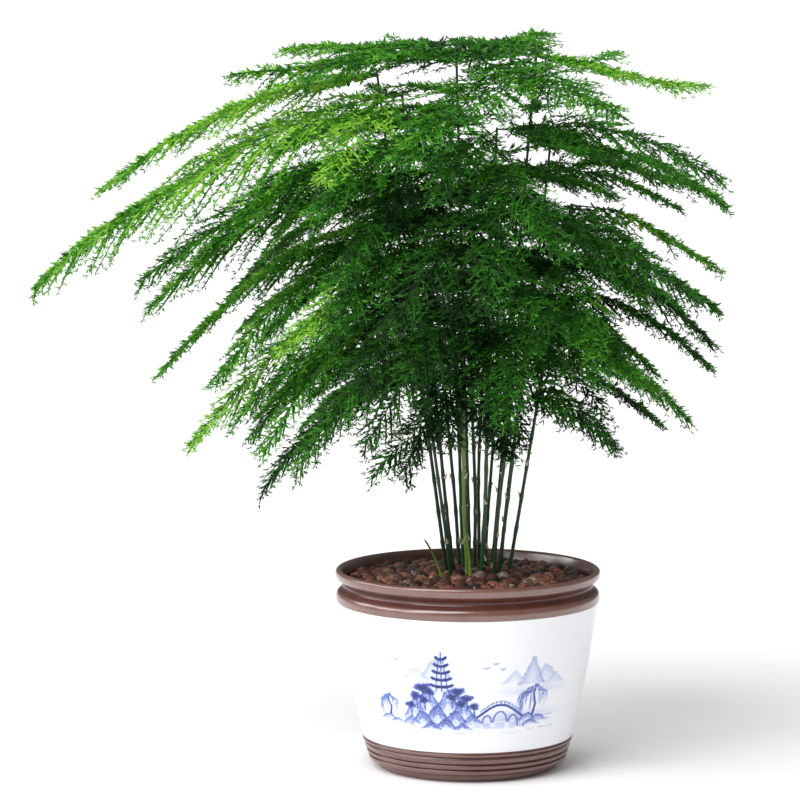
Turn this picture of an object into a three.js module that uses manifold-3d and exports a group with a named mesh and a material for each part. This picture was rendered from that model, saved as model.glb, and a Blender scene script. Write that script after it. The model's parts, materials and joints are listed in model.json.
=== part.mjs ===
// A potted lace fern (asparagus fern): a clump of green canes that carry flat, feathery fronds in layers,
// standing in a glazed ceramic pot that is filled with potting soil and topped with clay pebbles.
// Millimetres, +Z up. The origin is the middle of the pot's flat underside.
import * as THREE from "three";
import { mergeVertices } from "three/addons/utils/BufferGeometryUtils.js";
import Module from "manifold-3d";

// Pot
const rimRadius = 100;
const potHeight = 150.4;
const footRadius = 68;
const bandLow = 7.2; // the ridged band above the foot
const bellyLow = 23.5; // the white belly runs from here
const bellyHigh = 125.7; // to here
const bellyBulge = 1.5;
const grooveRadius = 93;
const floorThickness = 8;
const potSides = 30;
const drainHoleRadius = 5;
const drainCircleRadius = 36;
const drainHoles = 3;

// Filling
const gap = 0.35; // clearance between pieces that touch
const soilTop = 131;
const pebbleTop = 141.5;
const pebblePitch = 16;
const pebbleRise = 6.5; // height of a pebble's crown above the hollows round it
const moundRise = 5; // the pebbles are heaped a little round the canes
const holeTop = 154; // the holes for the canes are cut up to here, above the pebbles

// Clump of canes
const clumpX = 6;
const clumpY = 12;
const caneCount = 18;
const goldenAngle = Math.PI * (3 - Math.sqrt(5));
const firstAzimuth = Math.PI;
const footSpread = 25; // radius of the clump at the soil
const fanLength = 150; // height over which the clump doubles its width
const caneFootZ = 112;
const caneRadius = 1.5;
const caneTipRadius = 0.95;
const caneSides = 5;
const caneStep = 60; // distance between the bends of a cane
const lowestTop = 348; // layer of the shortest cane's top frond
const highestTop = 539;
// Each cane's place in the order of heights, from 0, the lowest: each side has high and low canes.
const heightRank = [17, 9, 8, 11, 16, 5, 13, 0, 14, 4, 12, 6, 10, 15, 1, 3, 2, 7];
const rankStep = (highestTop - lowestTop) / (caneCount - 1);

// Fronds
const degrees = THREE.MathUtils.degToRad;
const tierStep = 5.25 * rankStep; // from one frond down to the next: no two canes share a layer
const lowestTier = 294;
const frontLean = 0.25; // how steeply the layers fall towards the front
const rearLean = 0.12;
const frondThickness = 0.85;
const shortestFrond = 45;
const rachisWidth = 2;
const bareStalk = 16; // length of a frond's stalk without side leaflets
const leafletSpacing = 42;
const leafletShare = 0.35; // longest leaflet as a share of the frond's feathered length
const leafletAngle = degrees(50);
const leafletClearance = 3.6; // from any other cane
const shortestLeaflet = 8;
const sectorClearance = 1; // from the line between two fronds of a tier
const innerCanes = 5; // the canes in the middle spread their fronds more
const crownRank = 15; // and the highest of them carry fronds all round at their tops
const tierPlan = [
  // name, side of the way out, whether it points back over the clump, how much lower the stalk starts
  ["a", 1, 0, 0],
  ["b", -1, 0, 1.6],
  ["c", -1, 1, 1.6],
  ["d", 1, 1, 0],
];
// The fronds whose tips stand out of the plant's outline on the left (180 degrees) and the right (0), by
// cane, tier and name: reach from the middle of the clump, and heading in degrees.
const tipFronds = {
  "0.0a": { reach: 190, heading: 186 },
  "13.0a": { reach: 292, heading: 178 },
  "8.0b": { reach: 338, heading: 183 },
  "3.0b": { reach: 262, heading: 188 },
  "8.1b": { reach: 252, heading: 180 },
  "5.0a": { reach: 248, heading: 176 },
  "16.1b": { reach: 175, heading: 192 },
  "4.0b": { reach: 178, heading: -3 },
  "6.0a": { reach: 196, heading: -4 },
  "12.0b": { reach: 198, heading: 2 },
  "4.1b": { reach: 196, heading: -8 },
  "17.0a": { reach: 188, heading: 3 },
  "17.1a": { reach: 184, heading: 5 },
};

// Colours
const look = (color, roughness) => new THREE.MeshStandardMaterial({ color, roughness, metalness: 0 });
const potMaterial = look(0xf2f2f6, 0.25);
const soilMaterial = look(0x2e211b, 0.95);
const pebbleMaterial = look(0x6b4030, 0.8);
const frondMaterial = look(0x2f7a1c, 0.6);
const shootMaterial = look(0x8aa83a, 0.55);

const wasm = await Module();
wasm.setup();

// Turns a closed geometry into a solid that can be joined and cut.
function solidOf(geometry) {
  const bare = geometry.clone();
  bare.deleteAttribute("normal");
  bare.deleteAttribute("uv");
  const merged = mergeVertices(bare, 1e-4);
  return new wasm.Manifold(
    new wasm.Mesh({
      numProp: 3,
      vertProperties: merged.attributes.position.array,
      triVerts: new Uint32Array(merged.index.array),
    }),
  );
}

function geometryOf(solid) {
  const mesh = solid.getMesh();
  const geometry = new THREE.BufferGeometry();
  geometry.setAttribute("position", new THREE.BufferAttribute(mesh.vertProperties, 3));
  geometry.setIndex(new THREE.BufferAttribute(mesh.triVerts, 1));
  geometry.computeVertexNormals();
  return geometry;
}

function geometryFrom(points, triangles) {
  const geometry = new THREE.BufferGeometry();
  geometry.setAttribute("position", new THREE.Float32BufferAttribute(points.flat(), 3));
  geometry.setIndex(triangles.flat());
  return geometry;
}

// A fixed pseudo-random number from 0 to 1 for a pair of whole numbers.
function chance(a, b) {
  const wave = Math.sin(a * 12.9898 + b * 78.233) * 43758.5453;
  return wave - Math.floor(wave);
}

// A body of revolution about Z from a profile of [radius, height] pairs that runs up the outside.
function turned(profile) {
  const points = profile.map(([r, z]) => new THREE.Vector2(r, z));
  return new THREE.LatheGeometry(points, potSides).rotateX(Math.PI / 2);
}

// The radius of the belly at a height: a straight flare with a slight bulge.
function bellyRadius(z) {
  const share = (z - bellyLow) / (bellyHigh - bellyLow);
  const low = footRadius + 11.2;
  const high = rimRadius - 1.5;
  return low + (high - low) * share + bellyBulge * Math.sin(Math.PI * share);
}

function potProfile() {
  const band = [0, 4.4, 5, 9.4, 10, 14.4].map((step, i) => [
    footRadius + 6.6 + step * 0.24 + (i % 2 || i === 0 ? 0.5 : -0.4),
    bandLow + 0.8 + step,
  ]);
  const belly = [0, 1 / 3, 2 / 3, 1].map((share) => {
    const z = bellyLow + (bellyHigh - bellyLow) * share;
    return [bellyRadius(z), z];
  });
  const shoulder = [
    [rimRadius - 0.8, 128.5],
    [rimRadius - 1.2, 133],
    [grooveRadius + 0.3, 136.6],
    [grooveRadius + 0.4, 138.6],
  ];
  const lip = [
    [rimRadius - 1.8, 143.4],
    [rimRadius, 146.4],
    [rimRadius - 0.4, 149.4],
    [rimRadius - 2.6, potHeight],
    [rimRadius - 4.6, 149.4],
  ];
  return [
    [0, 0],
    [footRadius - 1.6, 0],
    [footRadius, 1.6],
    [footRadius, bandLow - 1],
    ...band,
    ...belly,
    ...shoulder,
    ...lip,
    ...innerProfile(0),
  ];
}

// The inside of the pot from the lip down to the floor, moved inwards by a clearance.
function innerProfile(clearance) {
  return [
    [rimRadius - 6.6 - clearance, 144],
    [rimRadius - 9.6 - clearance, 126],
    [footRadius + 4.5 - clearance, floorThickness + 10],
    [footRadius - 1.5 - clearance, floorThickness + clearance],
    [0, floorThickness + clearance],
  ];
}

// The inner radius at a height of the upper wall, moved inwards by a clearance.
function innerRadius(z, clearance) {
  const [[highR, highZ], [lowR, lowZ]] = innerProfile(clearance);
  return lowR + ((highR - lowR) * (z - lowZ)) / (highZ - lowZ);
}

function makePot() {
  let pot = solidOf(turned(potProfile()));
  for (let i = 0; i < drainHoles; i++) {
    const angle = (2 * Math.PI * i) / drainHoles;
    const hole = new THREE.CylinderGeometry(drainHoleRadius, drainHoleRadius, 4 * floorThickness, 10);
    hole.rotateX(Math.PI / 2);
    hole.translate(drainCircleRadius * Math.cos(angle), drainCircleRadius * Math.sin(angle), 0);
    pot = pot.subtract(solidOf(hole));
  }
  return geometryOf(pot);
}

// A tapering stick along points, with a closed flat end at each side.
function stick(points, radii) {
  const rings = points.map((p, i) =>
    Array.from({ length: caneSides }, (_, k) => {
      const angle = (2 * Math.PI * k) / caneSides;
      return [p[0] + radii[i] * Math.cos(angle), p[1] + radii[i] * Math.sin(angle), p[2]];
    }),
  );
  const triangles = [];
  const last = (points.length - 1) * caneSides;
  for (let k = 0; k < caneSides; k++) {
    const next = (k + 1) % caneSides;
    for (let row = 0; row < last; row += caneSides) {
      triangles.push([row + k, row + next, row + caneSides + next]);
      triangles.push([row + k, row + caneSides + next, row + caneSides + k]);
    }
    if (k > 0 && k < caneSides - 1) {
      triangles.push([0, next, k], [last, last + k, last + next]);
    }
  }
  return geometryFrom(rings.flat(), triangles);
}

// The canes fan out from the clump's middle and sway a little.
function caneAt(cane, z) {
  const azimuth = firstAzimuth + cane * goldenAngle;
  const footRadiusHere = footSpread * Math.sqrt((cane + 0.5) / caneCount);
  const rise = z - pebbleTop;
  const out = footRadiusHere * (1 + rise / fanLength);
  const sway = 1.6 * Math.sin(rise / 46 + cane * 2.1) * Math.min(1, Math.max(0, rise / 60));
  return [
    clumpX + out * Math.cos(azimuth) - sway * Math.sin(azimuth),
    clumpY + out * Math.sin(azimuth) + sway * Math.cos(azimuth),
  ];
}

const caneTop = (cane) => lowestTop + rankStep * heightRank[cane];

// Every frond lies on one of a family of domed layers, named by its height over the clump's middle.
// Lower layers droop more, so no two layers meet.
function layerHeight(x, y, layer) {
  const share = (layer - lowestTier) / (highestTop - lowestTier);
  const out = Math.hypot(x - clumpX, y - clumpY);
  const slope = 0.1 + 0.1 * share;
  const droop = 0.0032 - 0.0017 * share;
  const lean = y < clumpY ? frontLean : rearLean;
  const ripple = 3 * Math.sin(x / 31 + 1) * Math.sin(y / 27) + 1.2 * Math.sin(x / 17 + y / 13);
  return layer + slope * out - droop * out * out + lean * (y - clumpY) + ripple;
}

// Where a cane passes a layer.
function attachment(cane, layer) {
  let z = layer;
  for (let i = 0; i < 4; i++) {
    const [x, y] = caneAt(cane, z);
    z = layerHeight(x, y, layer);
  }
  return [...caneAt(cane, z), z];
}

// A cane is straight in its hole and bends from there to its top.
function canePoints(cane, top) {
  const steps = Math.max(2, Math.round((top - holeTop) / caneStep));
  const heights = [caneFootZ];
  for (let i = 0; i <= steps; i++) heights.push(holeTop + ((top - holeTop) * i) / steps);
  return heights.map((z) => [...caneAt(cane, z), z]);
}

function caneRadii(count, extra = 0) {
  return Array.from({ length: count }, (_, i) => {
    return caneRadius + ((caneTipRadius - caneRadius) * i) / (count - 1) + extra;
  });
}

// A thin plate over plan points with heights: every outline edge gets a wall.
function plate(points, triangles) {
  const count = points.length;
  const half = frondThickness / 2;
  const upper = points.map(([x, y, z]) => [x, y, z + half]);
  const lower = points.map(([x, y, z]) => [x, y, z - half]);
  const edges = new Map();
  for (const [a, b, c] of triangles) {
    for (const [from, to] of [[a, b], [b, c], [c, a]]) {
      if (!edges.delete(to + "," + from)) edges.set(from + "," + to, [from, to]);
    }
  }
  const walls = [...edges.values()].flatMap(([a, b]) => [
    [a + count, b + count, b],
    [a + count, b, a],
  ]);
  const under = triangles.map(([a, b, c]) => [c + count, b + count, a + count]);
  return geometryFrom([...upper, ...lower], [...triangles, ...under, ...walls]);
}

// The tiers of fronds that a cane carries, from its top down.
function tiersOf(cane) {
  const tiers = [];
  for (let layer = caneTop(cane); layer >= lowestTier; layer -= tierStep) tiers.push(layer);
  return tiers;
}

function frondReach(azimuth, layer, luck) {
  const share = (layer - lowestTier) / (highestTop - lowestTier);
  const level = 146 + 144 * share * (1 - share) + 26 * share;
  const left = 1 + 0.3 * Math.max(0, -Math.cos(azimuth)) ** 2;
  const front = 1 - 0.25 * (1 - share) ** 2 * Math.max(0, -Math.sin(azimuth)) ** 2;
  return level * left * front * (0.8 + 0.2 * luck);
}

// A point of a frond's midrib at a share of its length, moved aside by an offset. In plan the midrib is
// an arc.
function midribAt({ start, heading, bend, length, layer }, share, offset = 0) {
  const swept = (bend * share) / 2;
  const chord = length * share * (Math.abs(swept) < 1e-6 ? 1 : Math.sin(swept) / swept);
  const forward = [Math.cos(heading + 2 * swept), Math.sin(heading + 2 * swept)];
  const x = start[0] + chord * Math.cos(heading + swept) - offset * forward[1];
  const y = start[1] + chord * Math.sin(heading + swept) + offset * forward[0];
  return { place: [x, y, layerHeight(x, y, layer)], forward };
}

// Whether a midrib keeps clear of every other cane.
function isClear(cane, frond) {
  for (let step = 1; step <= 20; step++) {
    const [x, y, z] = midribAt(frond, step / 20).place;
    for (let other = 0; other < caneCount; other++) {
      if (other === cane || caneTop(other) < frond.layer - 12) continue;
      const [otherX, otherY] = caneAt(other, z);
      if (Math.hypot(x - otherX, y - otherY) < leafletClearance + 2.5) return false;
    }
  }
  return true;
}

// The fronds of a tier spread to both sides of the way out from the clump, and on the highest canes of
// the middle two more point back over the clump. Each takes the first heading that keeps clear of the
// other canes.
function frondsOf(cane, tier, layer) {
  const start = attachment(cane, layer);
  const outward = Math.atan2(start[1] - clumpY, start[0] - clumpX);
  const startOut = Math.hypot(start[0] - clumpX, start[1] - clumpY);
  const inner = cane < innerCanes;
  const isCrown = inner && tier === 0 && heightRank[cane] >= crownRank;
  const fronds = [];
  for (const [name, side, behind, drop] of tierPlan.slice(0, isCrown ? 4 : 2)) {
    const luck = (n) => chance(cane * 2 + side + 4, tier * 5 + n + 40 * behind);
    const special = tipFronds[cane + "." + tier + name];
    const bend = special ? 0 : side * 0.7 * (luck(1) - 0.45);
    const spread = 0.4 + 0.5 * luck(2) + (inner ? 0.25 : 0);
    const middle = outward + Math.PI * behind;
    for (const extra of [0, 0.09, -0.09, 0.18, 0.27, 0.36, 0.45, 0.54]) {
      const heading = (special ? degrees(special.heading) : middle + side * spread) + side * extra;
      const aim = heading + bend / 2;
      const aside = startOut * Math.sin(aim - outward);
      const reach = special ? special.reach : frondReach(aim, layer, luck(3));
      const length = Math.sqrt(reach * reach - aside * aside) - startOut * Math.cos(aim - outward);
      const frond = { start, heading, aim, bend, length, layer, drop };
      if (length > shortestFrond && isClear(cane, frond)) {
        fronds.push(frond);
        break;
      }
    }
  }
  return fronds;
}

// The sectors of neighbouring fronds meet in lines: how far a leaflet can grow before it reaches one.
function sectorLength(frond, fronds, from, direction, wanted) {
  let length = wanted;
  for (const other of fronds) {
    const between = Math.atan2(Math.sin(other.aim - frond.aim), Math.cos(other.aim - frond.aim));
    if (other === frond || Math.abs(between) > 2.6) continue;
    const line = frond.aim + between / 2;
    const side = -Math.sign(between);
    const across = (x, y) => side * (Math.cos(line) * y - Math.sin(line) * x);
    const approach = -across(direction[0], direction[1]);
    const room = across(from[0] - frond.start[0], from[1] - frond.start[1]) - sectorClearance;
    if (approach > 0) length = Math.min(length, Math.max(0, room / approach));
  }
  return length;
}

// How far a leaflet of a given width can grow before it comes too near another cane.
function clearLength(cane, from, direction, width, wanted) {
  let length = wanted;
  for (let other = 0; other < caneCount; other++) {
    if (other === cane || attachment(other, caneTop(other))[2] < from[2] - 6) continue;
    const [x, y] = caneAt(other, from[2]);
    const along = (x - from[0]) * direction[0] + (y - from[1]) * direction[1];
    const aside = Math.abs((x - from[0]) * direction[1] - (y - from[1]) * direction[0]);
    const isBeside = aside < leafletClearance + 0.4 * width;
    if (isBeside && along > -leafletClearance && along - leafletClearance < length) {
      length = Math.max(0, along - leafletClearance - 3);
    }
  }
  return length;
}

// A frond: a stalk that leaves the cane, and a midrib with leaflets cut to it on both sides.
function frondBody(cane, frond, fronds) {
  const feathered = frond.length - bareStalk;
  const count = Math.round(1.3 + feathered / leafletSpacing);
  const firstShare = bareStalk / frond.length;
  const shareOf = (step) => firstShare + ((1 - firstShare) * step) / (count + 0.9);
  const points = [];
  const triangles = [];
  const add = (p) => points.push(p) - 1;
  const half = (share) => (rachisWidth / 2) * (1 - 0.55 * share);

  // One edge of the midrib, with leaflets between its notches. side is 1 on the left.
  const edge = (side, shift) => {
    const [x, y, z] = midribAt(frond, 0, side * half(0)).place;
    const notches = [add([x, y, z - frond.drop])];
    for (let i = 0; i <= count; i++) {
      const share = shareOf(i + shift);
      notches.push(add(midribAt(frond, share, side * half(share)).place));
    }
    for (let i = 0; i < count; i++) {
      const middle = shareOf(i + shift + 0.5);
      const { place, forward } = midribAt(frond, middle, side * half(middle));
      const spread = Math.min(1, 0.5 + (i + 1) / 4) * Math.pow(1 - middle, 0.85);
      const luck = chance(i + 2, frond.layer + 7 * side + 3 * frond.aim);
      const wanted = feathered * leafletShare * spread * (0.8 + 0.3 * luck) + 5;
      const turnCos = Math.cos(leafletAngle);
      const turnSin = side * Math.sin(leafletAngle);
      const direction = [
        forward[0] * turnCos - forward[1] * turnSin,
        forward[0] * turnSin + forward[1] * turnCos,
      ];
      const free = sectorLength(frond, fronds, place, direction, wanted);
      const length = clearLength(cane, place, direction, feathered / count, free);
      if (length < shortestLeaflet) continue;
      const x = place[0] + direction[0] * length;
      const y = place[1] + direction[1] * length;
      const tip = add([x, y, layerHeight(x, y, frond.layer)]);
      const [near, far] = [notches[i + 1], notches[i + 2]];
      triangles.push(side > 0 ? [near, far, tip] : [far, near, tip]);
    }
    return notches;
  };
  const left = edge(1, 0);
  const right = edge(-1, 0.4);
  const end = add(midribAt(frond, 1).place);
  for (let i = 0; i <= count; i++) {
    triangles.push([right[i], right[i + 1], left[i]]);
    triangles.push([right[i + 1], left[i + 1], left[i]]);
  }
  triangles.push([right[count + 1], end, left[count + 1]]);
  return plate(points, triangles);
}

// A cane with all its fronds, grown together as one body.
function makeLeafyCane(cane) {
  const top = attachment(cane, caneTop(cane))[2] + 0.8;
  const points = canePoints(cane, top);
  let body = solidOf(stick(points, caneRadii(points.length)));
  tiersOf(cane).forEach((layer, tier) => {
    const fronds = frondsOf(cane, tier, layer);
    for (const frond of fronds) body = body.add(solidOf(frondBody(cane, frond, fronds)));
  });
  return geometryOf(body);
}

// Young shoots, still without fronds: foot, and the way each leans and hooks.
const shoots = [
  { name: "young_shoot_left", foot: [-19, -3], lean: [-14, -4], height: 36 },
  { name: "young_shoot_front", foot: [2, -17], lean: [-5, -5], height: 52 },
];

function shootPoints({ foot, lean, height }) {
  return [-0.6, 0, 0.35, 0.7, 1].map((share) => {
    const bend = Math.max(0, share) ** 1.6;
    return [foot[0] + lean[0] * bend, foot[1] + lean[1] * bend, pebbleTop - 4 + height * share];
  });
}

const shootRadii = (extra = 0) => [1.1, 1.1, 0.95, 0.8, 0.6].map((r) => r + extra);

// A bed of pebbles: crowns on a triangular lattice, raised from the hollows between them.
function pebbleHeight(x, y, crown) {
  const mound = moundRise * Math.exp(-((x - clumpX) ** 2 + (y - clumpY) ** 2) / 1800);
  return pebbleTop - pebbleRise + mound + crown;
}

function pebbleField() {
  const reach = rimRadius + 2 * pebblePitch;
  const rowPitch = (pebblePitch * Math.sqrt(3)) / 2;
  const rows = Math.ceil(reach / rowPitch);
  const columns = Math.ceil(reach / pebblePitch);
  const points = [];
  const index = new Map();
  const centre = (row, column) => [(column + (row & 1) / 2) * pebblePitch, row * rowPitch];
  const add = (key, x, y, z) => {
    if (!index.has(key)) index.set(key, points.push([x, y, z]) - 1);
    return index.get(key);
  };
  const crown = (row, column) => {
    const [x, y] = centre(row, column);
    const dx = (chance(row + 60, column + 60) - 0.5) * 0.36 * pebblePitch;
    const dy = (chance(row + 90, column + 30) - 0.5) * 0.36 * pebblePitch;
    const rise = pebbleRise * (0.72 + 0.5 * chance(row + 20, column + 80));
    return add("c" + row + "," + column, x + dx, y + dy, pebbleHeight(x, y, rise));
  };
  // The hollow between three crowns, named by its place so that neighbours share it.
  const hollow = (a, b, c) => {
    const [x, y] = [0, 1].map((k) => (centre(...a)[k] + centre(...b)[k] + centre(...c)[k]) / 3);
    return add("h" + Math.round(x * 8) + "," + Math.round(y * 8), x, y, pebbleHeight(x, y, 0));
  };
  const triangles = [];
  for (let row = -rows; row <= rows; row++) {
    for (let column = -columns; column <= columns; column++) {
      const odd = row & 1;
      const ring = [
        [row, column + 1],
        [row + 1, column + odd],
        [row + 1, column - 1 + odd],
        [row, column - 1],
        [row - 1, column - 1 + odd],
        [row - 1, column + odd],
      ];
      const here = [row, column];
      const corners = ring.map((cell, i) => hollow(here, cell, ring[(i + 1) % 6]));
      const middle = crown(row, column);
      corners.forEach((corner, i) => triangles.push([middle, corner, corners[(i + 1) % 6]]));
    }
  }
  return prism(points, triangles, soilTop - 20);
}

// A closed block under a relief of points, down to a flat floor.
function prism(points, triangles, floor) {
  const count = points.length;
  const edges = new Map();
  for (const [a, b, c] of triangles) {
    for (const [from, to] of [[a, b], [b, c], [c, a]]) {
      if (!edges.delete(to + "," + from)) edges.set(from + "," + to, [from, to]);
    }
  }
  const walls = [...edges.values()].flatMap(([a, b]) => [
    [a + count, b + count, b],
    [a + count, b, a],
  ]);
  const under = triangles.map(([a, b, c]) => [c + count, b + count, a + count]);
  const floorPoints = points.map(([x, y]) => [x, y, floor]);
  return geometryFrom([...points, ...floorPoints], [...triangles, ...under, ...walls]);
}

// The holes in which the canes and shoots stand.
function footHoles() {
  const holes = [];
  for (let cane = 0; cane < caneCount; cane++) {
    const points = canePoints(cane, holeTop + 1).slice(0, 2);
    points[0][2] -= gap;
    holes.push(solidOf(stick(points, [caneRadius + gap, caneRadius + gap])));
  }
  for (const shoot of shoots) {
    const points = shootPoints(shoot);
    points[0][2] -= gap;
    holes.push(solidOf(stick(points.slice(0, 3), shootRadii(gap).slice(0, 3))));
  }
  return holes.reduce((all, hole) => all.add(hole));
}

function makeSoil(holes) {
  const [, , lowWall, floorEdge, floorMiddle] = innerProfile(gap);
  const profile = [floorMiddle, floorEdge, lowWall, [innerRadius(soilTop, gap), soilTop], [0, soilTop]];
  return geometryOf(solidOf(turned(profile)).subtract(holes));
}

function makePebbles(holes) {
  const low = soilTop + gap;
  const high = holeTop;
  const profile = [
    [0, low],
    [innerRadius(low, gap), low],
    [innerRadius(high, 4 * gap), high],
    [0, high],
  ];
  return geometryOf(solidOf(turned(profile)).intersect(solidOf(pebbleField())).subtract(holes));
}

const group = new THREE.Group();

function place(name, geometry, material) {
  const mesh = new THREE.Mesh(geometry, material);
  mesh.name = name;
  group.add(mesh);
}

const holes = footHoles();
place("pot", makePot(), potMaterial);
place("soil", makeSoil(holes), soilMaterial);
place("clay_pebbles", makePebbles(holes), pebbleMaterial);
for (let cane = 0; cane < caneCount; cane++) {
  place("leafy_cane_" + String(cane + 1).padStart(2, "0"), makeLeafyCane(cane), frondMaterial);
}
for (const shoot of shoots) {
  place(shoot.name, stick(shootPoints(shoot), shootRadii()), shootMaterial);
}

export default group;
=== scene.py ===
import json
from functools import partial
from math import atan, atan2, copysign, cos, floor, hypot, pi, radians, sin, sqrt

import bpy
import numpy as np
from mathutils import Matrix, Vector

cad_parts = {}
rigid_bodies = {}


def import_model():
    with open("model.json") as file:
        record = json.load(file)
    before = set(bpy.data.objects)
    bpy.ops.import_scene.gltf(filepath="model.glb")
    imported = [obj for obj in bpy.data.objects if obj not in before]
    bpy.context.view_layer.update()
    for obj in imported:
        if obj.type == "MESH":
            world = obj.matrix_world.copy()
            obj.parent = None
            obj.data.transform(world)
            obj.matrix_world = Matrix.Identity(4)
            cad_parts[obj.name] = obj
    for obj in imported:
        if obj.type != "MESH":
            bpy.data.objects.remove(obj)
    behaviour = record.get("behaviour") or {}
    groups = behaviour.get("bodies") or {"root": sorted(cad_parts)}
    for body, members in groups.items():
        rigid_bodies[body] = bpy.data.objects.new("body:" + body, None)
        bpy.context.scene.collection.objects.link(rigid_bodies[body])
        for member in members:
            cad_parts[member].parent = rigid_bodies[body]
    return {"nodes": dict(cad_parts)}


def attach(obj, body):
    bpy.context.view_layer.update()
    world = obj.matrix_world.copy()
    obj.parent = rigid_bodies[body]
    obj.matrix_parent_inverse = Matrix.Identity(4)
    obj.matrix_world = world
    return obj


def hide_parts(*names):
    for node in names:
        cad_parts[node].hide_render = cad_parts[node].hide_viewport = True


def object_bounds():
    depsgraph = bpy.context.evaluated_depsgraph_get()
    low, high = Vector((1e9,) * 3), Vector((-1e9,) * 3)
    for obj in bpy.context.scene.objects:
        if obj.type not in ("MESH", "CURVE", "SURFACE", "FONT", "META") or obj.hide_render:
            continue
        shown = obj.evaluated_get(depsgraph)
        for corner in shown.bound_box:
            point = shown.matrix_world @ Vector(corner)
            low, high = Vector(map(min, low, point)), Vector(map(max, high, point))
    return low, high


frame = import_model()
for spare in [o for o in bpy.data.objects if o.name in ("Cube", "Light", "Camera")]:
    bpy.data.objects.remove(spare)  # the start-up scene's own objects
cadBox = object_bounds()
mm = 0.001
print("frame loaded:", len(frame["nodes"]), "CAD nodes")


def linear(colour):  # sRGB hex to linear RGBA
    parts = [int(colour[i : i + 2], 16) / 255 for i in (1, 3, 5)]
    return [p / 12.92 if p <= 0.04045 else ((p + 0.055) / 1.055) ** 2.4 for p in parts] + [1]


# gives the node's named output, or else its first one in use; stops are the places and colours of a ramp
def addNode(tree, kind, inputs=None, output=None, stops=(), **settings):
    node = tree.nodes.new(kind)
    for name, value in settings.items():
        setattr(node, name, value)
    for i, (place, colour) in enumerate(stops):
        elements = node.color_ramp.elements
        element = elements[i] if i < len(elements) else elements.new(place)
        element.position, element.color = place, linear(colour)
    for key, value in (inputs or {}).items():
        for source in value if isinstance(value, list) else [value]:
            if isinstance(source, bpy.types.NodeSocket):
                tree.links.new(source, node.inputs[key])
            else:
                node.inputs[key].default_value = source
    return node.outputs[output] if output else next(socket for socket in node.outputs if socket.enabled)


def chance(a, b):  # a fixed pseudo-random number from 0 to 1 for a pair of numbers
    wave = sin(a * 12.9898 + b * 78.233) * 43758.5453
    return wave - floor(wave)


def meshObject(name, points, faces=(), edges=(), scale=mm):
    mesh = bpy.data.meshes.new(name)
    mesh.from_pydata([[c * scale for c in p] for p in points], edges, faces)
    mesh.update()
    obj = bpy.data.objects.new(name, mesh)
    bpy.context.scene.collection.objects.link(obj)
    return obj


def giveAttribute(mesh, name, values):
    layer = mesh.attributes.new(name, "FLOAT", "POINT")
    layer.data.foreach_set("value", np.asarray(values, dtype=np.float32))


def newTree(name, sizes):  # a geometry tree with one named input for each size
    tree = bpy.data.node_groups.new(name, "GeometryNodeTree")
    tree.interface.new_socket("Geometry", in_out="INPUT", socket_type="NodeSocketGeometry")
    tree.interface.new_socket("Geometry", in_out="OUTPUT", socket_type="NodeSocketGeometry")
    for label, value in sizes.items():
        kind = {int: "Int", float: "Float"}.get(type(value), "Object")
        tree.interface.new_socket(label, in_out="INPUT", socket_type="NodeSocket" + kind)
    return tree, tree.nodes.new("NodeGroupInput").outputs, tree.nodes.new("NodeGroupOutput").inputs[0]


def grown(host, tree, sizes, name):  # runs a geometry tree on a host and keeps the result as a plain mesh
    modifier = host.modifiers.new("grow", "NODES")
    modifier.node_group = tree
    for item in tree.interface.items_tree:
        if item.in_out == "INPUT" and item.name in sizes:
            modifier[item.identifier] = sizes[item.name]
    graph = bpy.context.evaluated_depsgraph_get()
    mesh = bpy.data.meshes.new_from_object(host.evaluated_get(graph), depsgraph=graph)
    host.modifiers.remove(modifier)
    bpy.data.objects.remove(host)
    mesh.name = name
    obj = bpy.data.objects.new(name, mesh)
    bpy.context.scene.collection.objects.link(obj)
    return obj


def finished(obj, nodes):  # the piece rides on the part's one body and stands for its CAD nodes
    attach(obj, "root")
    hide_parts(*nodes)
    obj.data.calc_loop_triangles()
    print("  %s: %d triangles" % (obj.name, len(obj.data.loop_triangles)))


def stackedRings(rings, sides):  # a closed round bar through rings of (x, y, z, radius)
    points = []
    for x, y, z, radius in rings:
        for k in range(sides):
            angle = 2 * pi * k / sides
            points.append((x + radius * cos(angle), y + radius * sin(angle), z))
    faces = [list(range(sides - 1, -1, -1)), list(range(len(points) - sides, len(points)))]
    for first in range(0, len(points) - sides, sides):
        for k in range(sides):
            j = (k + 1) % sides
            faces.append([first + k, first + j, first + sides + j, first + sides + k])
    return points, faces


# The clump: the same rules as the solids follow, in millimetres.
clump = {
    "x": 6,
    "y": 12,
    "canes": 18,
    "firstAzimuth": pi,
    "goldenAngle": pi * (3 - sqrt(5)),
    "footSpread": 25,
    "fanLength": 150,  # height over which the clump doubles its width
    "pebbleTop": 141.5,
    "foot": 112,
    "sway": 1.6,
    "lowestTop": 348,
    "highestTop": 539,
    "heightRank": [17, 9, 8, 11, 16, 5, 13, 0, 14, 4, 12, 6, 10, 15, 1, 3, 2, 7],
    "tierRanks": 5.25,  # ranks from one frond of a cane down to the next
    "lowestTier": 294,
    "slope": (0.1, 0.1),  # of the lowest layer at its middle, and how much more on the highest
    "droop": (0.0032, 0.0017),  # of the lowest layer's rim, and how much less on the highest
    "frontLean": 0.25,  # how steeply the layers hang to the front and to the rear
    "rearLean": 0.12,
    "ripples": (3, 1.2),  # heights of the long and the short waves in a layer
    "innerCanes": 5,
    "crownRank": 15,  # inner canes from this rank on carry four fronds at their tips
}
rankStep = (clump["highestTop"] - clump["lowestTop"]) / (clump["canes"] - 1)

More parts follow.
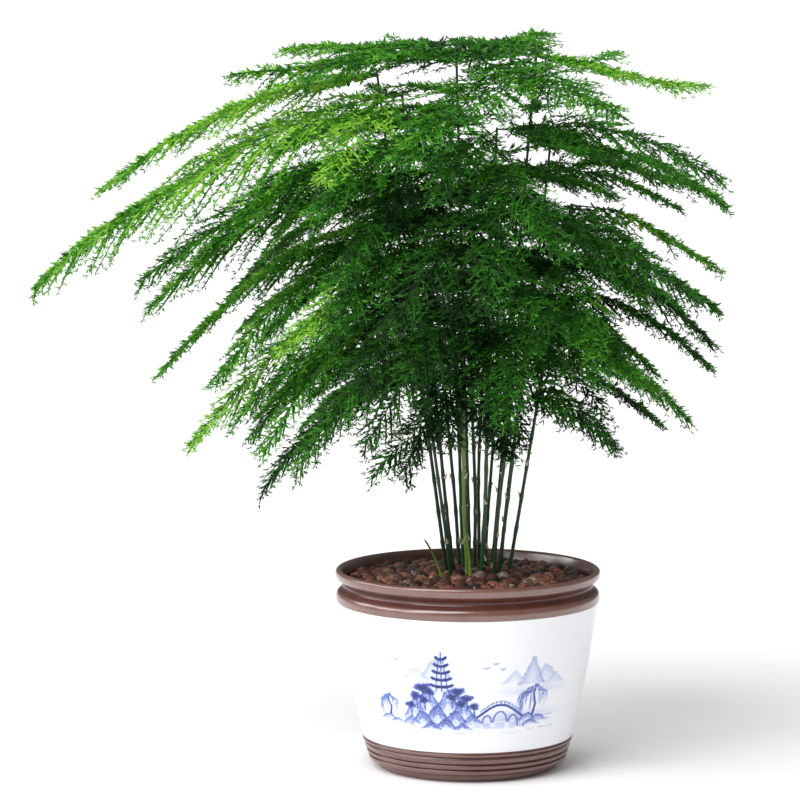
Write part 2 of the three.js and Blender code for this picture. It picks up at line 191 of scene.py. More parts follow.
frondRule = {
    "bareStalk": 16,
    "pinnaAngle": 50,  # degrees that the side branches stand off the midrib
    "clearance": 3.6,  # of a blade from any other cane
    "midribHalf": 2.5,
    "shortest": 45,
    "reach": 146,  # of the lowest fronds from the clump's middle, and what the left side adds to it
    "leftReach": 0.3,
    "middleReach": 36,  # how much further the fronds at half the crown's height reach
    "highReach": 26,
    "shortFront": 0.25,  # how much less the lowest front fronds reach, and how much luck takes off
    "shortLuck": 0.2,
    # name, side of the way out, whether it points back over the clump
    "tierPlan": [("a", 1, 0), ("b", -1, 0), ("c", -1, 1), ("d", 1, 1)],
    "evasions": (0, 0.09, -0.09, 0.18, 0.27, 0.36, 0.45, 0.54),  # turns tried until no cane is in the way
    "young": ("16.0b", "11.0b"),  # young fronds, still yellow-green at their tips
    # the fronds whose tips stand out of the outline on the left (180 degrees) and the right (0), by cane,
    # tier and name: reach from the middle of the clump, and heading
    "tips": {
        "0.0a": (190, 186),
        "13.0a": (292, 178),
        "8.0b": (338, 183),
        "3.0b": (262, 188),
        "8.1b": (252, 180),
        "5.0a": (248, 176),
        "16.1b": (175, 192),
        "4.0b": (178, -3),
        "6.0a": (196, -4),
        "12.0b": (198, 2),
        "4.1b": (196, -8),
        "17.0a": (188, 3),
        "17.1a": (184, 5),
    },
}


def caneAt(cane, z):
    azimuth = clump["firstAzimuth"] + cane * clump["goldenAngle"]
    foot = clump["footSpread"] * sqrt((cane + 0.5) / clump["canes"])
    rise = z - clump["pebbleTop"]
    out = foot * (1 + rise / clump["fanLength"])
    sway = clump["sway"] * sin(rise / 46 + cane * 2.1) * min(1, max(0, rise / 60))
    return (
        clump["x"] + out * cos(azimuth) - sway * sin(azimuth),
        clump["y"] + out * sin(azimuth) + sway * cos(azimuth),
    )


def caneTop(cane):
    return clump["lowestTop"] + rankStep * clump["heightRank"][cane]


def levelOf(layer):
    return (layer - clump["lowestTier"]) / (clump["highestTop"] - clump["lowestTier"])


def layerHeight(x, y, layer):  # the domed layer that a frond lies on
    out = hypot(x - clump["x"], y - clump["y"])
    slope = clump["slope"][0] + clump["slope"][1] * levelOf(layer)
    droop = clump["droop"][0] - clump["droop"][1] * levelOf(layer)
    lean = clump["frontLean"] if y < clump["y"] else clump["rearLean"]
    long, short = clump["ripples"]
    ripple = long * sin(x / 31 + 1) * sin(y / 27) + short * sin(x / 17 + y / 13)
    return layer + slope * out - droop * out * out + lean * (y - clump["y"]) + ripple


def attachment(cane, layer):
    z = layer
    for step in range(4):
        z = layerHeight(*caneAt(cane, z), layer)
    return (*caneAt(cane, z), z)


caneTips = [attachment(cane, caneTop(cane))[2] for cane in range(clump["canes"])]


def frondReach(azimuth, layer, luck):
    share = levelOf(layer)
    level = frondRule["reach"] + 4 * frondRule["middleReach"] * share * (1 - share)
    level += frondRule["highReach"] * share
    left = 1 + frondRule["leftReach"] * max(0, -cos(azimuth)) ** 2
    front = 1 - frondRule["shortFront"] * (1 - share) ** 2 * max(0, -sin(azimuth)) ** 2
    return level * left * front * (1 - frondRule["shortLuck"] + frondRule["shortLuck"] * luck)


def midribAt(frond, share):  # a point of the midrib and its direction in plan
    swept = frond["bend"] * share / 2
    chord = frond["length"] * share * (1 if abs(swept) < 1e-6 else sin(swept) / swept)
    x = frond["start"][0] + chord * cos(frond["heading"] + swept)
    y = frond["start"][1] + chord * sin(frond["heading"] + swept)
    return (x, y, layerHeight(x, y, frond["layer"])), frond["heading"] + 2 * swept


def isClear(cane, frond):
    for step in range(1, 21):
        x, y, z = midribAt(frond, step / 20)[0]
        for other in range(clump["canes"]):
            if other == cane or caneTop(other) < frond["layer"] - 12:
                continue
            otherX, otherY = caneAt(other, z)
            if hypot(x - otherX, y - otherY) < frondRule["clearance"] + frondRule["midribHalf"]:
                return False
    return True


def frondsOf(cane, tier, layer):
    start = attachment(cane, layer)
    outward = atan2(start[1] - clump["y"], start[0] - clump["x"])
    startOut = hypot(start[0] - clump["x"], start[1] - clump["y"])
    inner = cane < clump["innerCanes"]
    crown = inner and tier == 0 and clump["heightRank"][cane] >= clump["crownRank"]
    fronds = []
    for name, side, behind in frondRule["tierPlan"][: 4 if crown else 2]:
        luck = [chance(cane * 2 + side + 4, tier * 5 + n + 40 * behind) for n in range(4)]
        label = "%d.%d%s" % (cane, tier, name)
        special = frondRule["tips"].get(label)
        bend = 0 if special else side * 0.7 * (luck[1] - 0.45)
        spread = 0.4 + 0.5 * luck[2] + (0.25 if inner else 0)
        middle = outward + pi * behind
        for extra in frondRule["evasions"]:
            heading = (radians(special[1]) if special else middle + side * spread) + side * extra
            aim = heading + bend / 2
            aside = startOut * sin(aim - outward)
            reach = special[0] if special else frondReach(aim, layer, luck[3])
            length = sqrt(reach * reach - aside * aside) - startOut * cos(aim - outward)
            frond = {
                "start": start,
                "heading": heading,
                "aim": aim,
                "bend": bend,
                "length": length,
                "layer": layer,
                "young": label in frondRule["young"],
            }
            if length > frondRule["shortest"] and isClear(cane, frond):
                fronds.append(frond)
                break
    return fronds


# The lacy growth that the skeleton of each leafy cane carries.
feather = {
    "pinnaSpacing": 7,  # between side branches on one side of a midrib; they crowd towards its tip
    "pinnaShare": 0.37,  # longest side branch as a share of the feathered length
    "sprigSpacing": 4.3,  # between sprigs along a side branch
    "sprigNeedles": 5,
    "needleLength": 6.2,
    "needleWidth": 1.75,  # drawn several times as wide as the real leaf, so that it shows
    "needleStep": 0.95,  # between needles of a sprig
    "inset": 6,  # that the outermost sprigs reach past their branch
    "caneRadius": 1.5,
    "caneTipRadius": 0.9,
    "nodeSpacing": 24,
    "scaleLeafOut": 1.2,  # from the cane's middle: each sits on one side of its node
    "youngCane": 11,
    "midribRadius": 0.6,
    "pinnaRadius": 1.25,  # half the width of a side branch with the short leaves that lie along it
    "branchletLength": 52,
    "middleSag": 11,  # of the highest and the longest fronds at half length
    "tipDroop": 15,  # of the lowest fronds' tips
    "longFrond": 240,  # fronds past this length are closer set and hang more
    "longSpacing": 0.8,
    "highLevel": 0.55,  # share of the crown's height above which a frond counts as high
    "evenness": (0.76, 0.92),  # of the spacing on low and high fronds; at 1 it is even all along
    "raisedPaintedLight": 0.8,  # painted light: how much brighter the raised side branches of a frond are, and darker the hanging ones, as painted shade
    "youngGlow": 0.9,
    "youngFrom": 0.6,  # share of a young frond's length from which it is bright
    "nodeSwell": 1.25,  # of the cane at a node
    "firstNode": 146,  # height on cane 0; each cane's nodes stand nodeStep higher than the last one's
    "nodeStep": 9,
    "toneHeight": 400,  # where the needles have their middle tone, and how much it rises for each mm up: younger growth high up together with painted light from above
    "tone": 0.37,
    "youthAndPaintedLightRise": 0.0008,
    "paintedLightHeight": 430,  # above this the tone rises by more: younger growth and painted light on the top of the crown
    "youthAndPaintedLightHighRise": 0.0012,
    "toneLuck": 0.42,
    "paintedOuterLight": (0.0018, 0.22),  # painted light and shade: how much brighter for each mm away from the clump, and at most, so that the middle stays dark as painted shade
    "paintedLeftLight": (0.0008, 0.13),  # painted light: and for each mm to the left, towards the key light
}

# what stands out beyond a line of each kind: 0 cane, 1 midrib, 2 side branch, 3 scale leaf
room = {0: 1.6, 1: 7.5, 2: 8.5, 3: 4}
lowCorner, highCorner = ([c / mm for c in corner] for corner in cadBox)


def keptInside(point, kind):  # moves a point in, so that what it carries stays in the CAD model's box
    margin = room[kind]
    return [min(high - margin, max(low + margin, c)) for c, low, high in zip(point, lowCorner, highCorner)]


class Skeleton:  # loose polylines with a few numbers at every point
    def __init__(self):
        self.points, self.edges, self.numbers = [], [], []

    def line(self, points, kind, radii, tone, size=1.0):
        first, last = len(self.points), len(points) - 1
        for i, point in enumerate(points):
            self.points.append(keptInside(point, kind))
            shade = tone(point) if callable(tone) else tone
            self.numbers.append((kind, radii[i] * mm, shade, size * (1 - 0.4 * i / last)))
        self.edges += [(first + i, first + i + 1) for i in range(last)]

    def asObject(self, name):
        host = meshObject(name, self.points, edges=self.edges)
        for key, values in zip(("kind", "thickness", "tone", "size"), zip(*self.numbers)):
            giveAttribute(host.data, key, values)
        return host


def toneAndPaintedLightOf(point, luck):  # 0 dark, 1 bright: old and young growth and random luck, plus painted light brightest at the upper left and painted shade darkest in the crown's middle
    x, z = point[0], point[2]
    tone = feather["tone"] + feather["youthAndPaintedLightRise"] * (z - feather["toneHeight"])
    tone += feather["youthAndPaintedLightHighRise"] * max(0, z - feather["paintedLightHeight"])
    tone += feather["toneLuck"] * (luck - 0.5)
    # painted light: brighter away from the clump's shaded middle and towards the lit left side
    for (rise, most), far in ((feather["paintedOuterLight"], abs(x - clump["x"])), (feather["paintedLeftLight"], max(0, -x))):
        tone += min(most, rise * far)
    return min(1, max(0, tone))


def addFrond(skeleton, frond, luck):
    length = frond["length"]
    feathered = length - frondRule["bareStalk"]
    first = 0.4 * frondRule["bareStalk"] / length
    isLong = length > feather["longFrond"]
    count = round(length * (1 - first) / (feather["pinnaSpacing"] * (feather["longSpacing"] if isLong else 1)))
    seed = frond["layer"] + 3 * frond["aim"]
    level = levelOf(frond["layer"])
    evenness = feather["evenness"][level > feather["highLevel"]]
    end = 1 - feather["inset"] / length

    def drop(share):  # how far the growth hangs below the layer, this far along the midrib
        middle = feather["middleSag"] * max(5 * level - 4, 1 if isLong else 0) * sin(pi * share)
        return middle + feather["tipDroop"] * max(0, 1 - level) * share**4 - 1.2 * sin(7 * share + seed)

    ribs, radii = [], []
    for i in range(15):
        share = end * i / 14
        x, y, z = midribAt(frond, share)[0]
        ribs.append((x, y, z - drop(share)))
        radii.append(feather["midribRadius"] * (1 - 0.7 * share))
    skeleton.line(ribs, 1, radii, 0.25 + 0.3 * luck)
    for i in range(2 * count):
        side = 1 if i % 2 else -1
        share = first + (end - first) * ((i + 0.5) / (2 * count + 1)) ** evenness
        start, angle = midribAt(frond, share)
        spread = min(1, 0.45 + 3.2 * (share - first)) * (1 - share) ** 0.8
        wanted = feathered * feather["pinnaShare"] * spread * (0.7 + 0.45 * chance(i + 2, seed)) + 4
        lean = radians(frondRule["pinnaAngle"] + 12 * (0.5 - share) + 16 * (chance(i, seed + 5) - 0.5))
        upward = chance(i + 9, seed) - 0.5
        curl = 0.3 * (chance(i + 4, seed + 2) - 0.3)
        hang = 0.08 + 0.07 * (1 - level) + 0.08 * share + (0.1 if isLong else 0)
        points = []
        for step in (0, 0.5, 1):
            turn = angle + side * lean * (1 - curl * step)
            x = start[0] + wanted * step * cos(turn)
            y = start[1] + wanted * step * sin(turn)
            z = layerHeight(x, y, frond["layer"]) + wanted * step * (0.3 * upward - hang * step)
            points.append((x, y, z - drop(share)))
        radii = [feather["pinnaRadius"] * r for r in (0.6, 1, 0.3)]
        # painted light on raised side branches and painted shade on hanging ones, added to the frond's luck
        # and youth
        youthAndPaintedLight = luck + feather["raisedPaintedLight"] * upward
        if frond["young"] and share > feather["youngFrom"]:
            youthAndPaintedLight += feather["youngGlow"]
        skeleton.line(points, 2, radii, lambda p: toneAndPaintedLightOf(p, youthAndPaintedLight), 1.1 - 0.2 * share)
    tip = []
    for share in (0.7, 0.85, end):
        x, y, z = midribAt(frond, share)[0]
        tip.append((x, y, z - drop(share)))
    skeleton.line(tip, 2, [0.7, 0.7, 0.3], lambda p: toneAndPaintedLightOf(p, luck))


def addBranchlets(skeleton, cane, z):  # short side shoots at a node of the cane, among the fronds
    x, y = caneAt(cane, z)
    for k in range(3):
        heading = 2 * pi * (k / 3 + chance(cane + 3 * k, z))
        length = (feather["branchletLength"] + 0.12 * (z - 380)) * (0.6 + 0.7 * chance(k + 5, z + cane))
        points = []
        for out in (0, length / 2, length):
            rise = out * (0.35 - 0.3 * out / length)
            points.append((x + out * cos(heading), y + out * sin(heading), z + rise))
        luck = chance(cane + k, z + 4)
        skeleton.line(points, 2, [0.5, 1.1, 0.3], lambda p: toneAndPaintedLightOf(p, luck), 1.15)


def leafySkeleton(cane):
    skeleton = Skeleton()
    top = caneTips[cane] + 0.6
    raised = feather["nodeStep"] * cane
    steps = round((top - clump["foot"]) / 6)
    points, radii = [], []
    for i in range(steps + 1):
        z = clump["foot"] + (top - clump["foot"]) * i / steps
        points.append((*caneAt(cane, z), z))
        toNode = abs(((z - feather["firstNode"] - raised) / feather["nodeSpacing"]) % 1 - 0.5)
        thick = feather["caneRadius"] + (feather["caneTipRadius"] - feather["caneRadius"]) * i / steps
        radii.append(thick * (feather["nodeSwell"] if toNode > 0.4 else 1))
    skeleton.line(points, 0, radii, 0.8 if cane == feather["youngCane"] else 0.5 * chance(cane, 4))
    layer, tier, lowest = caneTop(cane), 0, top
    while layer >= clump["lowestTier"]:
        for k, frond in enumerate(frondsOf(cane, tier, layer)):
            addFrond(skeleton, frond, chance(cane * 7 + k, tier + 2))
        lowest = attachment(cane, layer)[2]
        layer -= clump["tierRanks"] * rankStep
        tier += 1
    z = feather["firstNode"] + raised % feather["nodeSpacing"]
    while z < top - 6:
        x, y = caneAt(cane, z)
        side = 2 * pi * chance(cane, z + 1)
        x, y = x + feather["scaleLeafOut"] * cos(side), y + feather["scaleLeafOut"] * sin(side)
        skeleton.line([(x, y, z), (x, y, z + 1)], 3, [1, 1], chance(cane, z))
        if z > lowest - 10:
            addBranchlets(skeleton, cane, z)
        z += feather["nodeSpacing"]
    return skeleton


# Materials

def newMaterial(name, finish):  # finish gives the values of the surface's inputs
    material = bpy.data.materials.new(name)
    material.use_nodes = True
    surface = material.node_tree.nodes["Principled BSDF"].inputs
    for key, value in finish.items():
        surface[key].default_value = value
    return material, material.node_tree, surface


def tonedMaterial(name, attribute, stops, finish):  # its colour follows an attribute of the piece
    material, tree, surface = newMaterial(name, finish)
    tone = addNode(tree, "ShaderNodeAttribute", output="Fac", attribute_name=attribute)
    tree.links.new(addNode(tree, "ShaderNodeValToRGB", {"Fac": tone}, stops=stops), surface["Base Color"])
    return material


# Needle-like leaves of a living lace fern: thin, slightly waxy, dark when old and yellow-green when young.
# Their tone also carries painted light and painted shade: lighter high up and at the upper left, darkest in
# the crown's middle.
needleLook, tree, surface = newMaterial("living fern needles", {"Roughness": 0.55, "Specular IOR Level": 0.3})
tone, shade = (addNode(tree, "ShaderNodeAttribute", output="Fac", attribute_name=n) for n in ("tone", "shade"))
mixed = addNode(tree, "ShaderNodeMath", {0: shade, 1: 0.34, 2: tone}, operation="MULTIPLY_ADD")
# the darkest greens serve as painted shade deep in the crown, the brightest partly as painted light
greens = [(0.0, "#0a2408"), (0.3, "#19460e"), (0.6, "#317b14"), (0.85, "#54a31e"), (1.0, "#8dc83c")]
tree.links.new(addNode(tree, "ShaderNodeValToRGB", {"Fac": mixed}, stops=greens), surface["Base Color"])

# Wiry green stem: a hard, smooth skin, dark green and paler along the youngest canes.
stems = [(0.0, "#16331f"), (0.5, "#2b5a2a"), (1.0, "#86a63a")]
stemLook = tonedMaterial("wiry green stem", "tone", stems, {"Roughness": 0.42, "IOR": 1.45})

# Papery scale leaf: dry, matt, straw to off-white.
straw = [(0.0, "#a08a62"), (1.0, "#ece6cb")]
scaleLook = tonedMaterial("papery scale leaf", "tone", straw, {"Roughness": 0.85})


def lacyTree(sizes):
    tree, given, out = newTree("lacy fronds", sizes)
    add = partial(addNode, tree)
    names = ("kind", "thickness", "size")
    kind, radius, size = (add("GeometryNodeInputNamedAttribute", {"Name": name}) for name in names)
    curves = add("GeometryNodeMeshToCurve", {"Mesh": given["Geometry"]})

    def only(wanted):  # the polylines of one kind
        same = add("FunctionNodeCompare", {0: kind, 1: wanted, 12: 0.5}, operation="EQUAL")
        return add("GeometryNodeSeparateGeometry", {"Geometry": curves, "Selection": same}, domain="CURVE")

    def tube(lines, sides, flat=False):
        ring = add("GeometryNodeCurvePrimitiveCircle", {"Resolution": sides, "Radius": 1.0})
        if flat:
            pressed = {"Geometry": ring, "Scale": (0.3, 1, 1), "Rotation": (0, 0, pi / 2)}
            ring = add("GeometryNodeTransform", pressed)
        sweep = {"Curve": lines, "Profile Curve": ring, "Scale": radius, "Fill Caps": True}
        made = add("GeometryNodeCurveToMesh", sweep)
        return add("GeometryNodeSetShadeSmooth", {"Geometry": made})

    stems = add("GeometryNodeJoinGeometry", {"Geometry": [tube(only(0.0), 7), tube(only(1.0), 4)]})
    upright = add("GeometryNodeSetCurveNormal", {"Curve": only(2.0)}, mode="Z_UP")
    tilt = add("FunctionNodeRandomValue", {2: -0.9, 3: 0.9, 8: 17})
    branches = tube(add("GeometryNodeSetCurveTilt", {"Curve": upright, "Tilt": tilt}), 3, True)

    # -1 and 1 by turns: needles and sprigs stand alternately to the right and left
    index = add("GeometryNodeInputIndex")
    parity = add("ShaderNodeMath", {0: index, 1: 2.0}, operation="MODULO")
    side = add("ShaderNodeMath", {0: parity, 1: 2.0, 2: -1.0}, operation="MULTIPLY_ADD")

    # three different sprigs: needles along a short axis
    shape = add("GeometryNodeObjectInfo", {"Object": given["needleShape"]}, "Geometry")
    slim = {"X": given["needleLength"], "Y": given["needleWidth"], "Z": given["needleWidth"]}
    slim = add("ShaderNodeCombineXYZ", slim)
    needle = add("GeometryNodeTransform", {"Geometry": shape, "Scale": slim})
    step = add("ShaderNodeCombineXYZ", {"X": given["needleStep"]})
    sprigs = []
    for seed in (3, 8, 14):
        line = add("GeometryNodeMeshLine", {"Count": given["sprigNeedles"], "Offset": step})
        roll, pitch, angle, long = (
            add("FunctionNodeRandomValue", {2: low, 3: high, 8: seed + more})
            for low, high, more in ((-0.9, 0.9, 5), (-0.45, 0.45, 1), (0.25, 0.8, 0), (0.75, 1.15, 2))
        )
        aside = add("ShaderNodeMath", {0: angle, 1: side}, operation="MULTIPLY")
        turn = add("ShaderNodeCombineXYZ", {"X": roll, "Y": pitch, "Z": aside})
        fan = {"Points": line, "Instance": needle, "Rotation": turn, "Scale": long}
        fan = add("GeometryNodeInstanceOnPoints", fan)
        whole = add("GeometryNodeRealizeInstances", {"Geometry": fan})
        sprigs.append(add("GeometryNodeGeometryToInstance", {0: whole}))
    sprigs = add("GeometryNodeJoinGeometry", {"Geometry": sprigs})

    # the sprigs along each side branch
    along = {"Curve": upright, "Length": given["sprigSpacing"]}
    spots = add("GeometryNodeCurveToPoints", along, mode="LENGTH").node.outputs
    opening, grow, shade = (
        add("FunctionNodeRandomValue", {2: low, 3: high, 8: seed})
        for low, high, seed in ((0.4, 0.85, 21), (0.8, 1.2, 25), (-0.5, 0.5, 26))
    )
    lift, up, lean = (
        add("FunctionNodeRandomValue", {0: low, 1: high, 8: seed}, data_type="FLOAT_VECTOR")
        for low, high, seed in (
            ((0, 0, -0.42), (0, 0, 0.42), 22),
            ((-0.7, -0.7, 1), (0.7, 0.7, 1), 23),
            ((-0.5, -0.5, 1), (0.5, 0.5, 1), 31),
        )
    )
    aside = add("ShaderNodeMath", {0: opening, 1: side}, operation="MULTIPLY")
    sideways = add("ShaderNodeVectorMath", {0: spots["Normal"], "Scale": aside}, operation="SCALE")
    way = add("ShaderNodeVectorMath", {0: spots["Tangent"], 1: sideways}, operation="ADD")
    way = add("ShaderNodeVectorMath", {0: way, 1: lift}, operation="ADD")
    leaves = {
        "Points": spots["Points"],
        "Instance": sprigs,
        "Pick Instance": True,
        "Instance Index": add("FunctionNodeRandomValue", {4: 0, 5: 2, 8: 24}, data_type="INT"),
        "Rotation": add("FunctionNodeAxesToRotation", {0: way, 1: up}, primary_axis="X", secondary_axis="Z"),
        "Scale": add("ShaderNodeMath", {0: grow, 1: size}, operation="MULTIPLY"),
    }
    leaves = add("GeometryNodeInstanceOnPoints", leaves)
    leaves = {"Geometry": leaves, "Name": "shade", "Value": shade}
    leaves = add("GeometryNodeStoreNamedAttribute", leaves, domain="INSTANCE")
    leaves = add("GeometryNodeRealizeInstances", {"Geometry": leaves})

    # a papery scale leaf at each node of the cane
    bract = {"Vertices": 5, "Radius Top": 0.0, "Radius Bottom": 0.0014, "Depth": 0.005}
    bracts = {
        "Points": add("GeometryNodeCurveToPoints", {"Curve": only(3.0), "Count": 1}, mode="COUNT"),
        "Instance": add("GeometryNodeMeshCone", bract),
        "Rotation": add("FunctionNodeAlignRotationToVector", {"Vector": lean}, axis="Z"),
    }
    bracts = add("GeometryNodeInstanceOnPoints", bracts)
    bracts = add("GeometryNodeRealizeInstances", {"Geometry": bracts})

    looks = ((stems, stemLook), (branches, needleLook), (leaves, needleLook), (bracts, scaleLook))
    parts = [add("GeometryNodeSetMaterial", {"Geometry": p, "Material": look}) for p, look in looks]
    tree.links.new(add("GeometryNodeJoinGeometry", {"Geometry": parts}), out)
    return tree


# one needle: a slim four-faced leaf, one unit long and wide, with its ridge on top
needleShape = meshObject(
    "needle", [(0, 0, 0), (1, 0, 0), (0.45, 0.5, -0.4), (0.45, -0.5, -0.4)],
    [(0, 1, 2), (1, 0, 3), (0, 2, 3), (1, 3, 2)], scale=1,
)
sizes = {key: feather[key] * mm for key in ("sprigSpacing", "needleLength", "needleWidth", "needleStep")}
sizes.update(sprigNeedles=feather["sprigNeedles"], needleShape=needleShape)
lacy = lacyTree(sizes)
total = 0
for cane in range(clump["canes"]):
    name = "leafy_cane_%02d" % (cane + 1)
    piece = grown(leafySkeleton(cane).asObject("bones"), lacy, sizes, "lacy_" + name)
    finished(piece, [name])
    total += len(piece.data.loop_triangles)
bpy.data.objects.remove(needleShape)
print("leafy canes grown:", total, "triangles")


# The pot

pot = {
    "bellyLow": 23.5,
    "bellyHigh": 125.7,
    "bellyFoot": 79.2,  # radius where the white belly starts, and how much wider it gets
    "bellyFlare": 19.3,
    "bellyBulge": 1.5,
    # radius and height: the turned foot, then the shoulder ring, groove, lip and the inside down to the floor
    "foot": [(0, 0), (30, 0), (66.4, 0), (68, 1.6), (68.2, 5.2), (71.5, 6.1)],
    "top": [
        (98.5, 125.7), (99.2, 127.0), (99.5, 130), (98.7, 133.2), (94.2, 136.2), (93.4, 138),
        (94.4, 139.8), (98, 142.6), (99.9, 145.6), (99.7, 149), (97.6, 150.4), (95.4, 149.6), (93.4, 144),
        (90.4, 126), (84, 80), (72.5, 18), (66.5, 8), (30, 8), (0, 8),
    ],
    "ridges": [6.2, 10.5, 14.7, 20.2, 23.6],  # the turned rings of the foot band lie between these
    "ridgeFoot": 72.4,  # radius in the lowest groove
    "ridgeFlare": (0.31, 0.16),  # how much wider for each mm up, from groove to groove and across a ring
    "ridgeDepth": 2.2,
    # how dark the glaze pools between two heights outside a radius, with painted shade in the dark places and
    # painted highlight in the light ones: groove under the lip, ring and lip
    "poolsAndPaintedShade": [(134, 141.5, 92, 0.6), (125.5, 134, 95, 0.15), (143, 151, 94.5, 0.12)],
    "pictureHalf": 62,  # degrees each way from the front that the painted picture may take
    "pictureLow": 37,
    "pictureHigh": 103,
    "pictureSize": 1.06,
    "pictureRound": 87.5,  # radius that turns degrees round the pot into the picture's width
    "pictureAside": 3,
    "pictureLift": 11,
    "paintGrain": 0.78,  # distance of the painted points
    "plainColumns": 66,  # round the part without the picture
    "drainHole": 5,
    "drainCircle": 36,
}

# Brown glaze on stoneware, brushed on the rim, the upper inner wall and the foot: satin, warm and uneven. It
# runs thin and tan over the crests, whose colour also holds a painted highlight, and pools dark and duller in
# the grooves and on the foot, whose colour also holds painted shade; an attribute of the pot says where.
satin = {"Roughness": 0.42, "Specular IOR Level": 0.2, "Coat Roughness": 0.22, "Coat IOR": 2.0}
brownGlaze, tree, surface = newMaterial("brown satin glaze", satin)
place = addNode(tree, "ShaderNodeTexCoord", output="Object")
uneven = {"Vector": place, "Scale": 60.0, "Detail": 3.0, "Roughness": 0.6}  # clouds of about 17 mm
cloudy = addNode(tree, "ShaderNodeTexNoise", uneven)
pool = addNode(tree, "ShaderNodeAttribute", output="Fac", attribute_name="pool")
clouds = addNode(tree, "ShaderNodeMath", {0: cloudy, 1: 0.4}, operation="MULTIPLY")
depth = addNode(tree, "ShaderNodeMath", {0: pool, 1: 0.8, 2: clouds}, operation="MULTIPLY_ADD")
# tan crests are partly painted highlight, near-black grooves partly painted shade
browns = [(0.15, "#82594e"), (0.4, "#6c453b"), (0.65, "#593027"), (1.0, "#24100b")]
tree.links.new(addNode(tree, "ShaderNodeValToRGB", {"Fac": depth}, stops=browns), surface["Base Color"])
gloss = addNode(tree, "ShaderNodeMath", {0: pool, 1: -1.2, 2: 1.15}, operation="MULTIPLY_ADD", use_clamp=True)
tree.links.new(gloss, surface["Coat Weight"])

# White glaze over cobalt painting: glassy and slightly cool; the ink attribute is the depth of the cobalt.
cobalt = [(0.0, "#f3f4f8"), (0.25, "#bcc8ea"), (0.5, "#7485c8"), (0.75, "#404f9e"), (1.0, "#1f2a68")]
glassy = {"Roughness": 0.13, "Coat Weight": 0.4, "Coat Roughness": 0.05}
whiteGlaze = tonedMaterial("white glaze over cobalt", "ink", cobalt, glassy)


def bellyRadius(z):
    share = (z - pot["bellyLow"]) / (pot["bellyHigh"] - pot["bellyLow"])
    return pot["bellyFoot"] + pot["bellyFlare"] * share + pot["bellyBulge"] * sin(pi * share)


def rounded(corners, radius):  # a line through the corners, each cut by a small arc
    line = [corners[0]]
    for before, corner, after in zip(corners, corners[1:], corners[2:]):
        a, b, c = (Vector(p[:2]) for p in (before, corner, after))
        inward, onward = a - b, c - b
        cut = min(radius, 0.45 * inward.length, 0.45 * onward.length)
        start, end = b + inward.normalized() * cut, b + onward.normalized() * cut
        for i in range(4):
            t = i / 3
            line.append(tuple(start * (1 - t) ** 2 + b * 2 * t * (1 - t) + end * t * t))
    return line + [corners[-1]]


def potRows():  # (radius, height, finely painted) from the middle of the foot round to the middle of the floor
    rows = [(r, z, False) for r, z in rounded(pot["foot"], 1.2)[1:-1]]
    ridges = pot["ridges"]
    flare, ringFlare = pot["ridgeFlare"]
    for low, high in zip(ridges, ridges[1:]):
        for i in range(8):
            z = low + (high - low) * i / 8
            swell = min(1, 1.5 * sin(pi * (i + 0.1) / 8)) ** 0.6
            groove = pot["ridgeFoot"] + flare * (low - ridges[0]) + ringFlare * (z - low)
            rows.append((groove + pot["ridgeDepth"] * swell, z, False))
    for rise, inset in ((0.1, 0.5), (0.9, 0), (5, 0), (9, 0)):
        z = pot["bellyLow"] + rise
        rows.append((bellyRadius(z) - inset, z, False))
    tall = pot["pictureHigh"] - pot["pictureLow"]
    painted = round(tall / pot["paintGrain"])
    for i in range(painted + 1):
        z = pot["pictureLow"] + tall * i / painted
        rows.append((bellyRadius(z), z, True))
    for i in range(1, 9):
        z = pot["pictureHigh"] + (pot["bellyHigh"] - pot["pictureHigh"]) * i / 8
        rows.append((bellyRadius(z), z, False))
    return rows + [(r, z, False) for r, z in rounded(pot["top"], 2.2)[1:-1]]


def potMesh():
    fineness = 4  # painted columns for each plain one
    half = radians(pot["pictureHalf"])
    left = -pi / 2 - half
    fine = fineness * round(2 * half * bellyRadius(60) / (pot["paintGrain"] * fineness))
    columns = [(left + 2 * half * i / fine, i % fineness == 0) for i in range(fine)]
    rest = pot["plainColumns"]
    columns += [(left + 2 * half + 2 * (pi - half) * i / rest, True) for i in range(rest)]
    rows = potRows()
    points, faces, looks, rings = [(0, 0, 0)], [], [], []
    for r, z, fine in rows:
        ring = []
        for angle, always in columns:
            if fine or always:
                ring.append(len(points))
                points.append((r * cos(angle), r * sin(angle), z))
            else:
                ring.append(None)
        rings.append(ring)
    last = len(points)
    points.append((0, 0, rows[-1][1]))
    stops = [i for i, column in enumerate(columns) if column[1]] + [len(columns)]
    for low, high, row, nextRow in zip(rings, rings[1:], rows, rows[1:]):
        isWhite = row[0] > pot["bellyFoot"] - 0.2 and row[1] > pot["bellyLow"]
        isWhite = isWhite and nextRow[1] < pot["bellyHigh"] + 0.5
        for start, stop in zip(stops, stops[1:]):
            cell = [i % len(columns) for i in range(start, stop + 1)]
            for span in zip(cell, cell[1:]) if row[2] and nextRow[2] else [cell]:
                under = [low[i] for i in span if low[i] is not None]
                over = [high[i] for i in span if high[i] is not None]
                faces.append(under + over[::-1])
                looks.append(int(isWhite))
    around = stops[:-1]
    for here, there in zip(around, around[1:] + around[:1]):
        faces.append([0, rings[0][there], rings[0][here]])
        faces.append([last, rings[-1][here], rings[-1][there]])
        looks += [0, 0]
    obj = meshObject("stoneware_pot", points, faces)
    for look in (brownGlaze, whiteGlaze):
        obj.data.materials.append(look)
    obj.data.polygons.foreach_set("material_index", looks)
    return obj


def drainCutter():
    points, faces = [], []
    for k in range(3):
        turn = pi / 2 + 2 * pi * k / 3
        x, y = pot["drainCircle"] * cos(turn), pot["drainCircle"] * sin(turn)
        corners, walls = stackedRings([(x, y, z, pot["drainHole"]) for z in (-5, 20)], 24)
        faces += [[len(points) + i for i in wall] for wall in walls]
        points += corners
    return meshObject("drain_cutter", points, faces)


